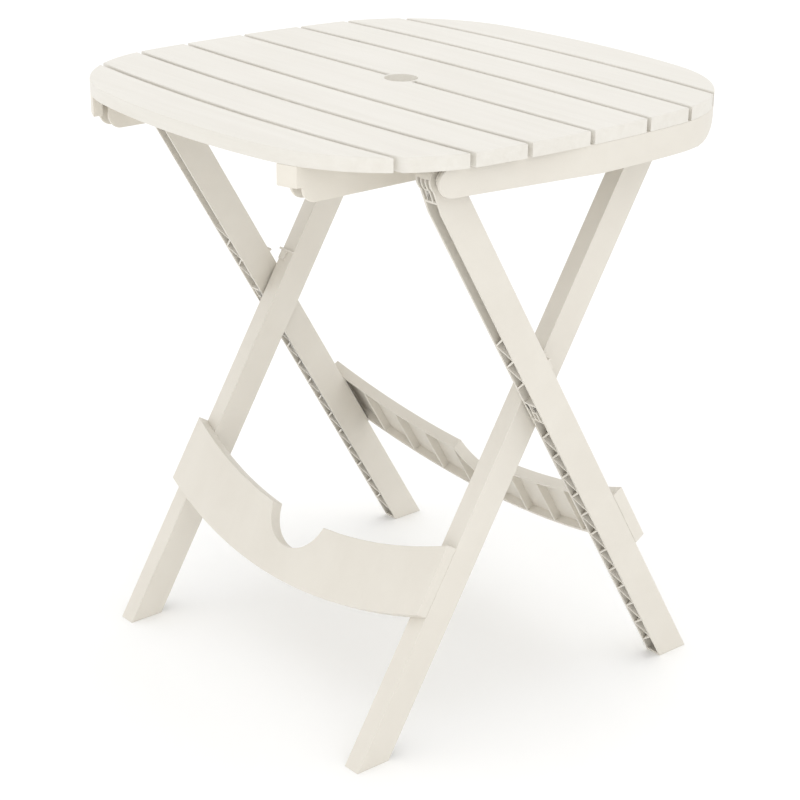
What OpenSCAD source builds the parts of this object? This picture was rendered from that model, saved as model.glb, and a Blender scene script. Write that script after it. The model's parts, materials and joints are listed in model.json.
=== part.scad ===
// Folding garden table: a slatted top on two crossed leg frames.
// X runs along the slats, Y across them, Z is up. The origin is on the floor under the middle.

/* [Overall] */
// Height of the table
table_h = 724; // [640:2:780]
// Size of the top along the slats
top_x = 630; // [540:5:760]
// Size of the top across the slats
top_y = 648; // [560:4:780]

/* [Slats] */
// Thickness of a slat at its rim
slat_t = 16; // [13:1:20]
// Skin above the hollow underside
slat_skin = 4; // [3:0.5:6]
// Rim and rib thickness of the hollow underside
slat_rim = 3.5; // [2.5:0.5:5]
// Width of the gaps between slats
gap_w = 7; // [5:0.5:9]
// Width of the two slats beside the middle gap
mid_slat_w = 89.5; // [75:0.5:100]
// Bow of the gaps at the middle of the top, before their place is added
gap_bow = 3; // [1:0.5:8]
// Extra bow for each millimetre from the middle
gap_bow_share = 0.045; // [0.02:0.005:0.06]
// Distance between the ribs under a slat
rib_pitch = 46.6; // [35:0.1:60]

/* [Outline of the top] */
// Radius of the two edges at the slat ends
end_edge_r = 1570; // [1200:10:2200]
// Radius of the two long edges
long_edge_r = 1015; // [850:5:1500]
// Radius of the corners
corner_r = 186; // [150:1:220]

/* [Pole hole] */
// Radius of the hole in the collar
pole_r = 20; // [14:0.5:26]
// Wall of the collar
collar_wall = 3; // [2:0.5:5]
// Width of the batten under the middle of the slats
batten_w = 18; // [12:1:30]
// Thickness of the batten
batten_t = 8; // [5:1:10]
// Width of the batten's tabs in the gaps
tab_w = 8; // [5:1:12]
// How far the tabs stay below the top
tab_drop = 3; // [1:0.5:6]

/* [Leg frames] */
// Hinge line below the top face
hinge_drop = 33; // [31:1:40]
// Half the distance between the hinge line and the rest line
hinge_y = 174.5; // [150:0.5:200]
// Half the distance between the feet of one side
foot_y = 237; // [200:1:270]
// From the slat ends to the outer legs' outer face
leg_inset = 42.6; // [40:0.2:60]
// Width of a leg
leg_w = 23.4; // [18:0.2:28]
// Depth of a leg
leg_d = 40; // [34:1:46]
// Wall of the leg channels
leg_wall = 3; // [2:0.5:5]
// Free gap between an outer and an inner leg
leg_gap = 4; // [3.5:0.5:8]
// Thickness of the closed end of a foot
foot_floor = 4; // [3:0.5:8]
// Thickness of the ribs in the legs, measured across the leg
leg_rib = 3.5; // [2.5:0.5:5]

/* [Stretchers] */
// How far the stretchers stand proud of the legs
stretcher_d = 16; // [10:1:20]
// Wall of the stretchers
stretcher_wall = 4; // [3:0.5:6]
// Lower edge at the middle, measured along the legs from the floor
stretcher_low = 138; // [120:1:150]
// Upper edge at the middle, measured the same way
stretcher_high = 217.5; // [205:0.5:225]
// Radius of the lower edge
stretcher_low_r = 690; // [600:5:900]
// Radius of the upper edge
stretcher_high_r = 600; // [520:5:800]
// Radius of the notch in the upper edge
notch_r = 50; // [30:1:60]
// Lowest point of the notch
notch_low = 178; // [165:1:190]

/* [Rails under the top] */
// Wall of the end rails
rail_wall = 4.5; // [3:0.5:6]
// From the slat ends to the rail's outer face at the hinge
rail_recess = 25; // [20:0.5:28]
// Where the rail's outer face meets the edge of the top
rail_flush_y = 20; // [0:5:40]
// Radius of the sweep at the rail's rest end
rail_sweep_r = 110; // [80:5:140]
// Where the sweep starts
rail_sweep_y = 185; // [150:5:200]
// Depth of the cross rails under the slats
cross_rail_h = 42; // [36:1:50]
// Wall of the cross rails
cross_wall = 4; // [3:0.5:5]
// Gap between the right cross rail and the inner leg beside it
cross_right_gap = 29.6; // [4:0.2:60]
// Gap between the left cross rail and the inner leg beside it
cross_left_gap = 5.6; // [4:0.2:60]
// Width of the cross rails
cross_w = 24; // [20:1:40]
// Corner radius at the lower ends of the cross rails
cross_corner_r = 17; // [10:1:20]
// Height of the cross rails' end panels
cross_panel_h = 24; // [18:1:30]

/* [Pins and fits] */
// Radius of the hinge pins
hinge_pin_r = 5; // [4:0.5:7]
// Radius of the pivot pins where the legs cross
pivot_pin_r = 6; // [5:0.5:8]
// Radial running clearance of a pin
run_fit = 0.05; // [0.02:0.01:0.1]
// Gap between parts that pass close by
pass_gap = 0.3; // [0.2:0.1:0.6]

/* [Hidden] */
$fn = 96;
resin = [0.93, 0.91, 0.86];
resin_shade = [0.87, 0.84, 0.78];
over = 1;

half_x = top_x / 2;
half_y = top_y / 2;
under_z = table_h - slat_t;
hinge_z = table_h - hinge_drop;
lean = atan((hinge_y + foot_y) / hinge_z);
cross_z = foot_y / tan(lean);
arm = (hinge_z - cross_z) / cos(lean);
shin = cross_z / cos(lean);
end_r = hinge_drop - slat_t - pass_gap;

// Faces of the legs along X
outer_face = half_x - leg_inset;
outer_in = outer_face - leg_w;
inner_face = outer_in - leg_gap;
inner_in = inner_face - leg_w;

// Centre of the corner arc, where it meets both edge arcs without a kink
end_c = [-(end_edge_r - half_x), 0];
long_c = [0, -(long_edge_r - half_y)];
span = norm(long_c - end_c);
dir = (long_c - end_c) / span;
along = (pow(end_edge_r - corner_r, 2) - pow(long_edge_r - corner_r, 2) + span * span) / (2 * span);
aside = sqrt(pow(end_edge_r - corner_r, 2) - along * along);
corner_c = end_c + dir * along + [-dir[1], dir[0]] * aside;
end_meet = atan2(corner_c[1] - end_c[1], corner_c[0] - end_c[0]);
long_meet = atan2(corner_c[1] - long_c[1], corner_c[0] - long_c[0]);

function arc(c, r, from, to, n) = [
    for (i = [0 : n]) c + r * [cos(from + (to - from) * i / n), sin(from + (to - from) * i / n)]
];
function quarter(inset) = concat(
    arc(end_c, end_edge_r - inset, 0, end_meet, 6),
    arc(corner_c, corner_r - inset, end_meet, long_meet, 16),
    arc(long_c, long_edge_r - inset, long_meet, 90, 8)
);
function flip(pts) = [for (i = [len(pts) - 1 : -1 : 0]) [-pts[i][0], pts[i][1]]];
function upper_half(inset) = concat(quarter(inset), flip(quarter(inset)));
function whole(inset) = concat(
    upper_half(inset),
    [for (p = upper_half(inset)) -p]
);

// Edge of the top at a given place, as x at y or y at x
function edge_x(y, inset = 0) = abs(y) < corner_c[1] + (corner_r - inset) * sin(end_meet)
    ? end_c[0] + sqrt(pow(end_edge_r - inset, 2) - y * y)
    : corner_c[0] + sqrt(pow(corner_r - inset, 2) - pow(abs(y) - corner_c[1], 2));
function edge_y(x, inset = 0) = abs(x) < corner_c[0] + (corner_r - inset) * cos(long_meet)
    ? long_c[1] + sqrt(pow(long_edge_r - inset, 2) - x * x)
    : corner_c[1] + sqrt(pow(corner_r - inset, 2) - pow(abs(x) - corner_c[0], 2));

// Middle line of gap k, counted outwards from the straight gap 0
outer_slat_w = (half_y - gap_w / 2 - mid_slat_w - 3 * gap_w) / 3;
function gap_mid(k) = k == 0 ? 0 : gap_w + mid_slat_w + (k - 1) * (outer_slat_w + gap_w);
function bow(k) = gap_bow + gap_bow_share * gap_mid(k);
function bow_half(k) = edge_x(gap_mid(k) - bow(k));
function bow_r(k) = (pow(bow_half(k), 2) + pow(bow(k), 2)) / (2 * bow(k));
function gap_y(k, x) = k == 0 ? 0 : gap_mid(k) - bow_r(k) + sqrt(pow(bow_r(k), 2) - x * x);

// Region between two gaps, or beyond the last one, for slats on the +Y side
module strip(k, inset) {
    reach = half_x + over;
    steps = 12;
    step = reach / steps;
    low = [for (i = [-steps : steps]) [i * step, gap_y(k, i * step) + gap_w / 2 + inset]];
    high = k == 3
        ? [[reach, half_y + over], [-reach, half_y + over]]
        : [for (i = [steps : -1 : -steps]) [i * step, gap_y(k + 1, i * step) - gap_w / 2 - inset]];
    polygon(concat(low, high));
}

module slat_plan(k, inset) {
    intersection() {
        polygon(whole(inset));
        strip(k, inset);
    }
}

module slat_ribs() {
    count = floor(half_x / rib_pitch);
    for (i = [-count : count])
        translate([i * rib_pitch - slat_rim / 2, 0])
            square([slat_rim, half_y]);
}

module slat_body(k) {
    difference() {
        translate([0, 0, under_z])
            linear_extrude(slat_t)
                slat_plan(k, 0);
        translate([0, 0, under_z - over])
            linear_extrude(slat_t - slat_skin + over)
                difference() {
                    slat_plan(k, slat_rim);
                    slat_ribs();
                    if (k == 0)
                        circle(pole_r + collar_wall + slat_rim);
                }
        if (k == 0)
            translate([0, 0, under_z - over])
                cylinder(h = slat_t + 2 * over, r = pole_r + collar_wall + run_fit);
    }
}

// Slats 1 to 8 run from the -Y edge to the +Y edge
module slat(number) {
    color(resin)
        if (number > 4)
            slat_body(number - 5);
        else
            mirror([0, 1, 0])
                slat_body(4 - number);
}

// A side profile in Y and Z, extruded along X from x0 to x1
module along_x(x0, x1) {
    translate([x0, 0, 0])
        rotate([90, 0, 90])
            linear_extrude(x1 - x0)
                children();
}

module x_rod(x0, x1, r) {
    translate([x0, 0, 0])
        rotate([0, 90, 0])
            cylinder(h = x1 - x0, r = r);
}

// Rails under the top
rail_face = half_x - rail_recess;
rail_slope = rail_recess / (rail_flush_y + hinge_y);
rail_low = hinge_z - end_r - pass_gap;
rail_end_y = rail_sweep_y + sqrt(pow(rail_sweep_r, 2) - pow(rail_sweep_r - (under_z - rail_low), 2));
lip_t = 3;
lip_w = 11;
boss_gap = 1.6;
boss_r = 2.2 * hinge_pin_r;
pin_cover = 2;
rail_steps = 48;
rail_ribs = [-100, -20, 60, 140];

function rail_x(y, inset) = min(edge_x(y, inset), rail_face + (y + hinge_y) * rail_slope - inset);

module rail_plan(thick) {
    first = -hinge_y - end_r - over;
    step = (rail_end_y + over - first) / rail_steps;
    ys = [for (i = [0 : rail_steps]) first + i * step];
    outer = [for (y = ys) [rail_x(y, 0), y]];
    inner = [for (i = [rail_steps : -1 : 0]) [rail_x(ys[i], thick), ys[i]]];
    polygon(concat(outer, inner));
}

module rail_side() {
    drop = under_z - rail_low;
    translate([-hinge_y, hinge_z])
        circle(drop / 2);
    translate([-hinge_y, rail_low])
        square([hinge_y + rail_sweep_y, drop]);
    intersection() {
        translate([rail_sweep_y, rail_low + rail_sweep_r])
            circle(rail_sweep_r);
        translate([rail_sweep_y - over, rail_low])
            square([rail_sweep_r, drop]);
    }
}

module end_rail() {
    boss_x = outer_face + boss_gap;
    color(resin)
        difference() {
            union() {
                intersection() {
                    translate([0, 0, rail_low - over])
                        linear_extrude(under_z - rail_low + over)
                            rail_plan(rail_wall);
                    along_x(0, half_x + over)
                        rail_side();
                }
                intersection() {
                    translate([0, 0, under_z - lip_t])
                        linear_extrude(lip_t)
                            rail_plan(rail_wall + lip_w);
                    along_x(boss_x, half_x + over)
                        rail_side();
                }
                translate([0, -hinge_y, hinge_z]) {
                    x_rod(boss_x, rail_face - rail_wall / 2, boss_r);
                    translate([boss_x, -lip_t / 2, 0])
                        cube([rail_face - boss_x - rail_wall / 2, lip_t, under_z - hinge_z]);
                }
                for (y = rail_ribs)
                    translate([boss_x, y, rail_low + cross_wall])
                        cube([rail_x(y, rail_wall / 2) - boss_x, lip_t, under_z - rail_low - cross_wall]);
            }
            translate([0, -hinge_y, hinge_z])
                x_rod(boss_x - over, rail_face - pin_cover, hinge_pin_r + run_fit);
        }
}

module cross_side(end_y) {
    low = under_z - cross_rail_h;
    translate([-end_y, low + cross_corner_r])
        square([2 * end_y, cross_rail_h - cross_corner_r]);
    translate([cross_corner_r - end_y, low])
        square([2 * (end_y - cross_corner_r), cross_rail_h]);
    for (s = [-1, 1])
        translate([s * (end_y - cross_corner_r), low + cross_corner_r])
            circle(cross_corner_r);
}

// Cross rail with its outer face at x = face, on the +X side
module cross_rail(face) {
    end_y = edge_y(face, 2 * cross_wall);
    color(resin_shade) {
        for (x = [face - cross_w, face - cross_wall])
            along_x(x, x + cross_wall)
                cross_side(end_y);
        translate([0, 0, under_z - lip_t])
            linear_extrude(lip_t)
                intersection() {
                    polygon(whole(cross_wall / 2));
                    translate([face - cross_w, -half_y])
                        square([cross_w, top_y]);
                }
        translate([0, 0, under_z - cross_panel_h])
            linear_extrude(cross_panel_h)
                difference() {
                    intersection() {
                        polygon(whole(0));
                        translate([face - cross_w, -half_y])
                            square([cross_w, top_y]);
                    }
                    polygon(whole(3 * cross_wall));
                }
    }
}

module centre_batten() {
    reach = gap_mid(3) + gap_w;
    hub_r = pole_r + collar_wall + batten_t;
    color(resin_shade)
        difference() {
            union() {
                translate([-batten_w / 2, -reach, under_z - batten_t])
                    cube([batten_w, 2 * reach, batten_t]);
                translate([0, 0, under_z - batten_t])
                    cylinder(h = batten_t, r = hub_r);
                for (k = [1 : 3], s = [-1, 1])
                    translate([-tab_w / 2, s * gap_mid(k) - gap_w / 2, under_z - over])
                        cube([tab_w, gap_w, slat_t - tab_drop + over]);
            }
            translate([0, 0, under_z - batten_t - over])
                cylinder(h = batten_t + 2 * over, r = pole_r + collar_wall + run_fit);
        }
}

module pole_collar() {
    color(resin)
        translate([0, 0, under_z - batten_t])
            difference() {
                cylinder(h = batten_t + slat_t, r = pole_r + collar_wall);
                translate([0, 0, -over])
                    cylinder(h = batten_t + slat_t + 2 * over, r = pole_r);
            }
}

// Blocks under the top that the rounded ends of the inner legs come up against
module rest_stops() {
    block_y = hinge_y + end_r / 3;
    block_len = 26;
    block_h = 24;
    color(resin_shade)
        for (s = [-1, 1])
            difference() {
                translate([s * (inner_face + inner_in) / 2 - leg_w / 2, block_y, under_z - block_h])
                    cube([leg_w, block_len, block_h]);
                translate([0, hinge_y, hinge_z])
                    x_rod(-half_x, half_x, end_r + pass_gap);
            }
}

// Leg frames
// Along a leg: Y is the closed side, Z runs up the leg, and the crossing is at the origin
module on_outer() {
    translate([0, 0, cross_z])
        rotate([lean, 0, 0])
            children();
}

module on_inner() {
    mirror([0, 1, 0])
        on_outer()
            children();
}

leg_taper = 35;
shoulder = 0.9 * end_r;
lug_t = 3;
lug_h = 3.5;
lug_at = 50;
solid_q = 15;
block_low = 19;
block_high = 9;
pocket_floor = 1.5;
zigzag_top = 0.36 * arm;
foot_over = shin + leg_d;

module leg_side() {
    translate([0, arm])
        circle(end_r);
    polygon([
        [-leg_d / 2, -foot_over], [leg_d / 2, -foot_over],
        [leg_d / 2, arm - leg_taper], [shoulder, arm],
        [-shoulder, arm], [-leg_d / 2, arm - leg_taper]
    ]);
}

// Zigzag rib between the flanges from z1 down to z0, seen from the open side
module zigzag(x0, z0, z1) {
    inner_w = leg_w - 2 * leg_wall;
    mid = x0 + leg_w / 2;
    reach = inner_w / 2 + over;
    count = floor((z1 - z0) / inner_w);
    tips = [for (i = [0 : count]) [mid + (i % 2 == 0 ? reach : -reach), z1 - i * inner_w]];
    left = [for (p = tips) p - [leg_rib / 2, 0]];
    right = [for (i = [count : -1 : 0]) tips[i] + [leg_rib / 2, 0]];
    polygon(concat(left, right));
}

// What is open between the flanges, below and above the crossing
module cells(x0) {
    inner_w = leg_w - 2 * leg_wall;
    difference() {
        translate([x0 + leg_wall, -foot_over])
            square([inner_w, foot_over - solid_q]);
        zigzag(x0, leg_d / 2 - shin, -2 * solid_q);
    }
    difference() {
        translate([x0 + leg_wall, solid_q])
            square([inner_w, arm - block_low - leg_wall - solid_q]);
        zigzag(x0, 2 * solid_q, zigzag_top);
    }
}

// Three pockets that leave an H of ribs between them, seen from the open side
module h_pockets(x0, z0, z1) {
    rib = 2.2;
    slot = (leg_w - 2 * leg_wall - 2 * rib) / 3;
    for (i = [0 : 2])
        difference() {
            translate([x0 + leg_wall + i * (slot + rib), z0])
                square([slot, z1 - z0]);
            if (i == 1)
                translate([x0, (z0 + z1 - rib) / 2])
                    square([leg_w, rib]);
        }
}

module above(z) {
    translate([-top_x, -top_y, z])
        cube([2 * top_x, 2 * top_y, 2 * table_h]);
}

// lug_out lengthens the small lug on the closed side into the gap beside the leg
module leg(x0, lug_out) {
    intersection() {
        on_outer()
            along_x(x0, x0 + leg_w)
                leg_side();
        above(0);
    }
    on_outer() {
        translate([x0, leg_d / 2 - over, lug_at])
            cube([leg_w + lug_out, lug_h + over, lug_t]);
        translate([x0 + leg_w / 2, leg_d / 2 - over, lug_at - 4 * lug_t])
            cube([leg_w / 2 - over, lug_h, 4 * lug_t + over]);
    }
}

module leg_hollow(x0) {
    intersection() {
        on_outer()
            translate([0, leg_d / 2 - leg_wall, 0])
                rotate([90, 0, 0])
                    linear_extrude(leg_d)
                        cells(x0);
        above(foot_floor);
    }
    on_outer()
        translate([0, -pivot_pin_r - pocket_floor, 0])
            rotate([90, 0, 0])
                linear_extrude(leg_d) {
                    h_pockets(x0, arm - block_low, arm + block_high);
                    h_pockets(x0, leg_wall - solid_q, solid_q - leg_wall);
                }
}

module outer_leg() {
    color(resin)
        difference() {
            leg(outer_in, 0);
            leg_hollow(outer_in);
            on_outer() {
                x_rod(outer_in - over, outer_face - leg_wall, pivot_pin_r + run_fit);
                translate([0, 0, arm])
                    x_rod(outer_in + leg_wall, outer_face + over, hinge_pin_r + run_fit);
            }
        }
}

module inner_leg() {
    ring_gap = 0.2;
    color(resin)
        difference() {
            union() {
                leg(inner_in, leg_gap - 2 * pass_gap);
                on_outer()
                    x_rod(inner_face - over, outer_in - ring_gap, solid_q - lug_t);
            }
            leg_hollow(inner_in);
            on_outer()
                x_rod(inner_in + leg_wall, outer_in + over, pivot_pin_r + run_fit);
        }
}

module band(inset, half_w) {
    low_c = stretcher_low + stretcher_low_r;
    high_c = stretcher_high + stretcher_high_r;
    difference() {
        intersection() {
            translate([0, low_c - shin])
                circle(stretcher_low_r - inset, $fn = 360);
            translate([inset - half_w, -shin])
                square([2 * (half_w - inset), shin]);
        }
        translate([0, high_c - shin])
            circle(stretcher_high_r + inset, $fn = 360);
        translate([0, notch_low + notch_r - shin])
            circle(notch_r + inset);
    }
}

// Plate with a rim all round and upright ribs, hollow towards the legs
module stretcher(half_w, back) {
    face = leg_d / 2 + stretcher_d;
    floor_y = leg_d / 2 + back;
    ribs = 4;
    translate([0, face, 0])
        rotate([90, 0, 0]) {
            linear_extrude(stretcher_wall)
                band(0, half_w);
            linear_extrude(face - floor_y)
                difference() {
                    band(0, half_w);
                    difference() {
                        band(stretcher_wall, half_w);
                        for (i = [-ribs : ribs])
                            translate([i * half_w / (ribs + 1) - slat_rim / 2, -shin])
                                square([slat_rim, shin]);
                    }
                }
        }
}

module front_stretcher() {
    color(resin)
        on_inner()
            stretcher(inner_face, 0);
}

// Its legs lie outside the inner ones, so pads bring it down onto them
module back_stretcher() {
    pass = 1;
    color(resin)
        on_outer() {
            stretcher(outer_face, pass);
            intersection() {
                translate([0, leg_d / 2 + pass + over, 0])
                    rotate([90, 0, 0])
                        linear_extrude(pass + over)
                            band(0, outer_face);
                for (x = [outer_in, -outer_face])
                    translate([x, 0, -shin])
                        cube([leg_w, leg_d, shin]);
            }
        }
}

// Pins
module hinge_pins() {
    color(resin_shade)
        for (s = [0, 1])
            mirror([s, 0, 0])
                translate([0, -hinge_y, hinge_z])
                    x_rod(outer_in + leg_wall + run_fit, rail_face - pin_cover, hinge_pin_r);
}

module pivot_pins() {
    color(resin_shade)
        for (s = [0, 1])
            mirror([s, 0, 0])
                translate([0, 0, cross_z])
                    x_rod(inner_in + leg_wall, outer_face - leg_wall - run_fit, pivot_pin_r);
}

slat(1);  // slat_1
slat(2);  // slat_2
slat(3);  // slat_3
slat(4);  // slat_4
slat(5);  // slat_5
slat(6);  // slat_6
slat(7);  // slat_7
slat(8);  // slat_8
end_rail();  // end_rail_right
mirror([1, 0, 0]) end_rail();  // end_rail_left
cross_rail(inner_in - cross_right_gap);  // cross_rail_right
mirror([1, 0, 0]) cross_rail(inner_in - cross_left_gap);  // cross_rail_left
centre_batten();
pole_collar();
rest_stops();
outer_leg();  // outer_leg_right
mirror([1, 0, 0]) outer_leg();  // outer_leg_left
back_stretcher();
mirror([0, 1, 0]) inner_leg();  // inner_leg_right
mirror([1, 0, 0]) mirror([0, 1, 0]) inner_leg();  // inner_leg_left
front_stretcher();
hinge_pins();
pivot_pins();
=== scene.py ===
import json
import math

import bmesh
import bpy
from mathutils import Matrix, Vector


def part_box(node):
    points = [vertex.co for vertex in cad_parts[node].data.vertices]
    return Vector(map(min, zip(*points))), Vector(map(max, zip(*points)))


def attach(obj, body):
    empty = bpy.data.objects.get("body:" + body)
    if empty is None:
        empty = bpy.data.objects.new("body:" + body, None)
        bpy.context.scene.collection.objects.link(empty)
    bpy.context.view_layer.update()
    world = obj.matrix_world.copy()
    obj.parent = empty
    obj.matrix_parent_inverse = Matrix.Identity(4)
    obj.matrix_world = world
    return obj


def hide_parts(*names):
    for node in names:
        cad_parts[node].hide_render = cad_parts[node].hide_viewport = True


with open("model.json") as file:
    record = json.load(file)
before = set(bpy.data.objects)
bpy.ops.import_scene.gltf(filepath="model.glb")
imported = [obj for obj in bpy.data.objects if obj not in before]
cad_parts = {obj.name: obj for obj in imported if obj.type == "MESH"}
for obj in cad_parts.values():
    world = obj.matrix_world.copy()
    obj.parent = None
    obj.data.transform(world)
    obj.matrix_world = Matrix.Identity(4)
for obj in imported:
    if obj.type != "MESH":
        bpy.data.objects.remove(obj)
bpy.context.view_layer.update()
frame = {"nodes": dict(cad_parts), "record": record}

print("frame loaded", len(frame["nodes"]), "nodes")

slatNames = ["slat_%d" % n for n in range(1, 9)]
bodyOf = {node: body for body, nodes in frame["record"]["behaviour"]["bodies"].items() for node in nodes}

slatLook = {
    "dark": (0.690, 0.661, 0.600), "light": (0.745, 0.720, 0.665),   # linear colours
    "flow": (1.0, 22.0, 22.0),     # texture scale: small along the flow of the resin
    "grain": 0.35,
    "roughness": 0.40,
}
legLook = {
    "dark": (0.680, 0.642, 0.572), "light": (0.716, 0.681, 0.612),
    "flow": (4.0, 2.5, 2.5),
    "grain": 0.10,
    "roughness": 0.40,
}
railLook = {                       # rails, stops and pins under the top
    "dark": (0.716, 0.672, 0.590), "light": (0.758, 0.718, 0.640),
    "flow": (5.0, 1.5, 5.0),
    "grain": 0.10,
    "roughness": 0.46,
}


def rgba(colour):
    return (colour[0], colour[1], colour[2], 1.0)


texture = {
    "streakScale": 5.0, "streakDetail": 7.0, "streakRoughness": 0.62, "streakBend": 0.35,
    "cloudScale": 7.0, "cloudDetail": 2.0,
    "streakShare": 0.7, "cloudShare": 0.3,          # how much each gives to the tint
    "tintFrom": 0.32, "tintTo": 0.66,
    "glossier": 0.06, "duller": 0.10,               # around the roughness of the look
    "grainDepth": 0.0006,
    "speckleScale": 1400.0, "speckleDetail": 2.0,
    "speckleStrength": 0.10, "speckleDepth": 0.0001,
    "ior": 1.48, "specular": 0.45,
}


def resinMaterial(name, look):
    mat = bpy.data.materials.new(name)
    mat.use_nodes = True
    tree = mat.node_tree
    shader = tree.nodes["Principled BSDF"]
    shader.inputs["IOR"].default_value = texture["ior"]
    shader.inputs["Specular IOR Level"].default_value = texture["specular"]
    coords = tree.nodes.new("ShaderNodeTexCoord")
    flow = tree.nodes.new("ShaderNodeMapping")
    flow.inputs["Scale"].default_value = look["flow"]
    tree.links.new(coords.outputs["Object"], flow.inputs["Vector"])

    streaks = tree.nodes.new("ShaderNodeTexNoise")      # long faint streaks
    streaks.inputs["Scale"].default_value = texture["streakScale"]
    streaks.inputs["Detail"].default_value = texture["streakDetail"]
    streaks.inputs["Roughness"].default_value = texture["streakRoughness"]
    streaks.inputs["Distortion"].default_value = texture["streakBend"]
    tree.links.new(flow.outputs["Vector"], streaks.inputs["Vector"])
    clouds = tree.nodes.new("ShaderNodeTexNoise")       # slow drift of the tint
    clouds.inputs["Scale"].default_value = texture["cloudScale"]
    clouds.inputs["Detail"].default_value = texture["cloudDetail"]
    tree.links.new(coords.outputs["Object"], clouds.inputs["Vector"])
    blend = tree.nodes.new("ShaderNodeMath")
    blend.operation = "MULTIPLY_ADD"
    blend.inputs[1].default_value = texture["streakShare"]
    tree.links.new(streaks.outputs["Fac"], blend.inputs[0])
    drift = tree.nodes.new("ShaderNodeMath")
    drift.operation = "MULTIPLY"
    drift.inputs[1].default_value = texture["cloudShare"]
    tree.links.new(clouds.outputs["Fac"], drift.inputs[0])
    tree.links.new(drift.outputs[0], blend.inputs[2])
    tint = tree.nodes.new("ShaderNodeValToRGB")
    tint.color_ramp.elements[0].position = texture["tintFrom"]
    tint.color_ramp.elements[0].color = rgba(look["dark"])
    tint.color_ramp.elements[1].position = texture["tintTo"]
    tint.color_ramp.elements[1].color = rgba(look["light"])
    tree.links.new(blend.outputs[0], tint.inputs["Fac"])
    tree.links.new(tint.outputs["Color"], shader.inputs["Base Color"])

    speckle = tree.nodes.new("ShaderNodeTexNoise")      # fine spark texture of the mould
    speckle.inputs["Scale"].default_value = texture["speckleScale"]
    speckle.inputs["Detail"].default_value = texture["speckleDetail"]
    tree.links.new(coords.outputs["Object"], speckle.inputs["Vector"])
    rough = tree.nodes.new("ShaderNodeMapRange")
    rough.inputs["To Min"].default_value = look["roughness"] - texture["glossier"]
    rough.inputs["To Max"].default_value = look["roughness"] + texture["duller"]
    tree.links.new(streaks.outputs["Fac"], rough.inputs["Value"])
    tree.links.new(rough.outputs["Result"], shader.inputs["Roughness"])
    grain = tree.nodes.new("ShaderNodeBump")
    grain.inputs["Strength"].default_value = look["grain"]
    grain.inputs["Distance"].default_value = texture["grainDepth"]
    tree.links.new(streaks.outputs["Fac"], grain.inputs["Height"])
    pebble = tree.nodes.new("ShaderNodeBump")
    pebble.inputs["Strength"].default_value = texture["speckleStrength"]
    pebble.inputs["Distance"].default_value = texture["speckleDepth"]
    tree.links.new(speckle.outputs["Fac"], pebble.inputs["Height"])
    tree.links.new(grain.outputs["Normal"], pebble.inputs["Normal"])
    tree.links.new(pebble.outputs["Normal"], shader.inputs["Normal"])
    return mat


slatResin = resinMaterial("slatResin", slatLook)
legResin = resinMaterial("legResin", legLook)
railResin = resinMaterial("railResin", railLook)
print("resins mixed")

corners = {
    "sharpAbove": math.radians(38),   # a corner steeper than this gets rounded
    "slatTop": 0.0016,                # radius round the top of a slat
    "plain": 0.0011,                  # radius on the rails and stretchers
    "leg": 0.0007,                    # radius on the legs, whose ribs are thin
    "rimOnly": 0.0002,                # how close to the top face a slat edge has to be
    "poleCut": 0.026,                 # edges this near the middle belong to the pole hole
    "shortest": 0.0015,               # shorter edges are part of a curve
    "slatSegments": 4,
    "plainSegments": 2,
    "weldGap": 0.00002,
    "flatAngle": math.radians(0.05),  # faces that meet flatter than this become one
    "shadeSharp": math.radians(32),
    "faceWeight": 90,                 # how strongly the big faces lead the shading
}


def cleanCopy(name):
    source = frame["nodes"][name]
    bm = bmesh.new()
    bm.from_mesh(source.data)
    bmesh.ops.remove_doubles(bm, verts=bm.verts, dist=corners["weldGap"])
    bmesh.ops.dissolve_limit(bm, angle_limit=corners["flatAngle"], verts=bm.verts, edges=bm.edges)
    return bm


def markCorners(bm, wanted):
    # only the outside corners that wanted() picks are rounded
    weights = bm.edges.layers.float.get("bevel_weight_edge") or bm.edges.layers.float.new("bevel_weight_edge")
    for edge in bm.edges:
        if len(edge.link_faces) != 2 or not edge.is_convex:
            continue
        if edge.calc_face_angle() > corners["sharpAbove"] and wanted(edge):
            edge[weights] = 1.0


def bakeModifiers(piece):
    evaluated = piece.evaluated_get(bpy.context.evaluated_depsgraph_get())
    baked = bpy.data.meshes.new_from_object(evaluated)
    piece.modifiers.clear()
    piece.data = baked


def mouldedPiece(name, material, radius, segments, wanted):
    bm = cleanCopy(name)
    markCorners(bm, wanted)
    mesh = bpy.data.meshes.new(name + "Mesh")
    bm.to_mesh(mesh)
    bm.free()
    piece = bpy.data.objects.new(name + "_moulded", mesh)
    bpy.context.scene.collection.objects.link(piece)
    bevel = piece.modifiers.new("softCorners", "BEVEL")
    bevel.limit_method = "WEIGHT"
    bevel.width = radius
    bevel.segments = segments
    bevel.use_clamp_overlap = False
    bevel.miter_outer = "MITER_ARC"
    bakeModifiers(piece)
    piece.data.shade_smooth()
    piece.data.set_sharp_from_angle(angle=corners["shadeSharp"])
    flatten = piece.modifiers.new("flatFaces", "WEIGHTED_NORMAL")   # keeps the big faces flat in the light
    flatten.weight = corners["faceWeight"]
    flatten.keep_sharp = True
    bakeModifiers(piece)
    piece.data.materials.clear()
    piece.data.materials.append(material)
    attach(piece, bodyOf[name])
    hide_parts(name)


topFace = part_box("slat_4")[1][2]


def atTopFace(edge):
    # the cut round the pole collar stays sharp, so that the two read as one surface
    if max(math.hypot(v.co.x, v.co.y) for v in edge.verts) < corners["poleCut"]:
        return False
    return min(v.co.z for v in edge.verts) > topFace - corners["rimOnly"]


def anyCorner(edge):
    return edge.calc_length() > corners["shortest"]


for name in slatNames:
    mouldedPiece(name, slatResin, corners["slatTop"], corners["slatSegments"], atTopFace)
print("slats rounded")

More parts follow.
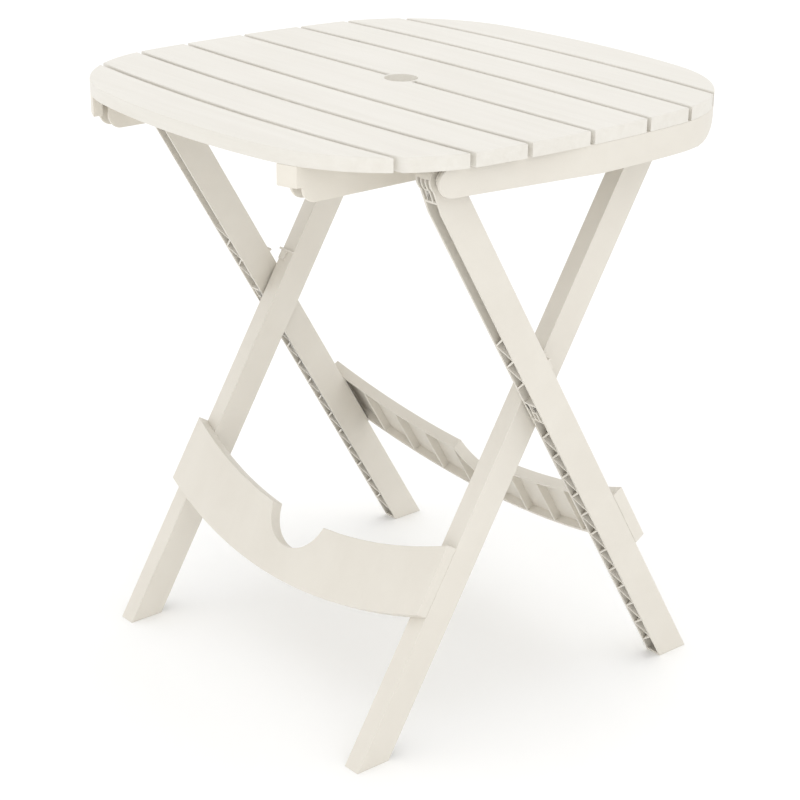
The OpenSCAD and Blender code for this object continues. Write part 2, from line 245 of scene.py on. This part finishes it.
for name in ["outer_leg_right", "outer_leg_left", "inner_leg_right", "inner_leg_left"]:
    mouldedPiece(name, legResin, corners["leg"], corners["plainSegments"], anyCorner)
for name in ["front_stretcher", "back_stretcher", "end_rail_right", "end_rail_left"]:
    mouldedPiece(name, legResin, corners["plain"], corners["plainSegments"], anyCorner)
for name in ["cross_rail_right", "cross_rail_left", "centre_batten", "rest_stops"]:
    mouldedPiece(name, railResin, corners["plain"], corners["plainSegments"], anyCorner)
print("frames and rails rounded")

for name, material in [("pole_collar", slatResin), ("hinge_pins", railResin), ("pivot_pins", railResin)]:
    mesh = frame["nodes"][name].data
    mesh.materials.clear()
    mesh.materials.append(material)

studio = {
    "floorSize": 14.0,
    "floorColour": (0.97, 0.97, 0.965),
    "floorRoughness": 0.9,
    "azimuth": 49.47, "elevation": 21.79, "roll": 0.795,   # degrees, seen from the front right
    "distance": 2.464, "lens": 89.64,                      # metres, millimetres
    "sensor": 36,
    "aimHeight": 0.362, "slideRight": 0.0035, "slideUp": -0.0408,
    "worldStrength": 1.14,
    "lampAim": (0, 0, 0.4),
}
# name: place, width and height in metres, watts
softboxes = {
    "overheadBox": ((0.3, 0.4, 3.2), (3.0, 3.0), 3),
    "rightBox": ((3.2, -1.2, 1.6), (2.2, 2.2), 3),
    "leftBox": ((-1.6, -3.2, 1.4), (2.0, 2.0), 2),
    "lowFill": ((2.3, -2.4, 0.35), (1.6, 0.7), 5),     # reaches under the top
}


def addFloor():
    mesh = bpy.data.meshes.new("floorMesh")
    half = studio["floorSize"] / 2
    mesh.from_pydata([(-half, -half, 0), (half, -half, 0), (half, half, 0), (-half, half, 0)], [], [(0, 1, 2, 3)])
    floor = bpy.data.objects.new("studio_floor", mesh)
    bpy.context.scene.collection.objects.link(floor)
    paint = bpy.data.materials.new("floorPaint")
    paint.use_nodes = True
    shader = paint.node_tree.nodes["Principled BSDF"]
    shader.inputs["Base Color"].default_value = rgba(studio["floorColour"])
    shader.inputs["Roughness"].default_value = studio["floorRoughness"]
    mesh.materials.append(paint)


def addCamera():
    az = math.radians(studio["azimuth"])
    el = math.radians(studio["elevation"])
    roll = math.radians(studio["roll"])
    back = Vector((math.sin(az) * math.cos(el), -math.cos(az) * math.cos(el), math.sin(el)))
    right = (-back).cross(Vector((0, 0, 1))).normalized()
    up = right.cross(-back)
    tiltRight = math.cos(roll) * right + math.sin(roll) * up
    tiltUp = math.cos(roll) * up - math.sin(roll) * right
    spot = Vector((0, 0, studio["aimHeight"])) + back * studio["distance"]
    spot += tiltRight * studio["slideRight"] + tiltUp * studio["slideUp"]
    camera = bpy.data.objects.new("camera", bpy.data.cameras.new("camera"))
    camera.data.lens = studio["lens"]
    camera.data.sensor_width = studio["sensor"]
    turn = Matrix((tiltRight, tiltUp, back)).transposed().to_4x4()
    camera.matrix_world = Matrix.Translation(spot) @ turn
    bpy.context.scene.collection.objects.link(camera)
    bpy.context.scene.camera = camera


def addSoftbox(name, spot, size, power):
    data = bpy.data.lights.new(name, "AREA")
    data.shape = "RECTANGLE"
    data.size, data.size_y = size
    data.energy = power
    lamp = bpy.data.objects.new(name, data)
    lamp.location = spot
    lamp.rotation_euler = (Vector(studio["lampAim"]) - Vector(spot)).to_track_quat("-Z", "Y").to_euler()
    bpy.context.scene.collection.objects.link(lamp)


def addWorld(strength):
    world = bpy.data.worlds.new("studioAir")
    world.use_nodes = True
    shade = world.node_tree.nodes["Background"]
    shade.inputs["Color"].default_value = rgba((1.0, 1.0, 1.0))
    shade.inputs["Strength"].default_value = strength
    bpy.context.scene.world = world


addFloor()
addCamera()
bpy.context.scene.view_settings.view_transform = "Standard"
addWorld(studio["worldStrength"])
for name, (spot, size, power) in softboxes.items():
    addSoftbox(name, spot, size, power)
print("studio set")
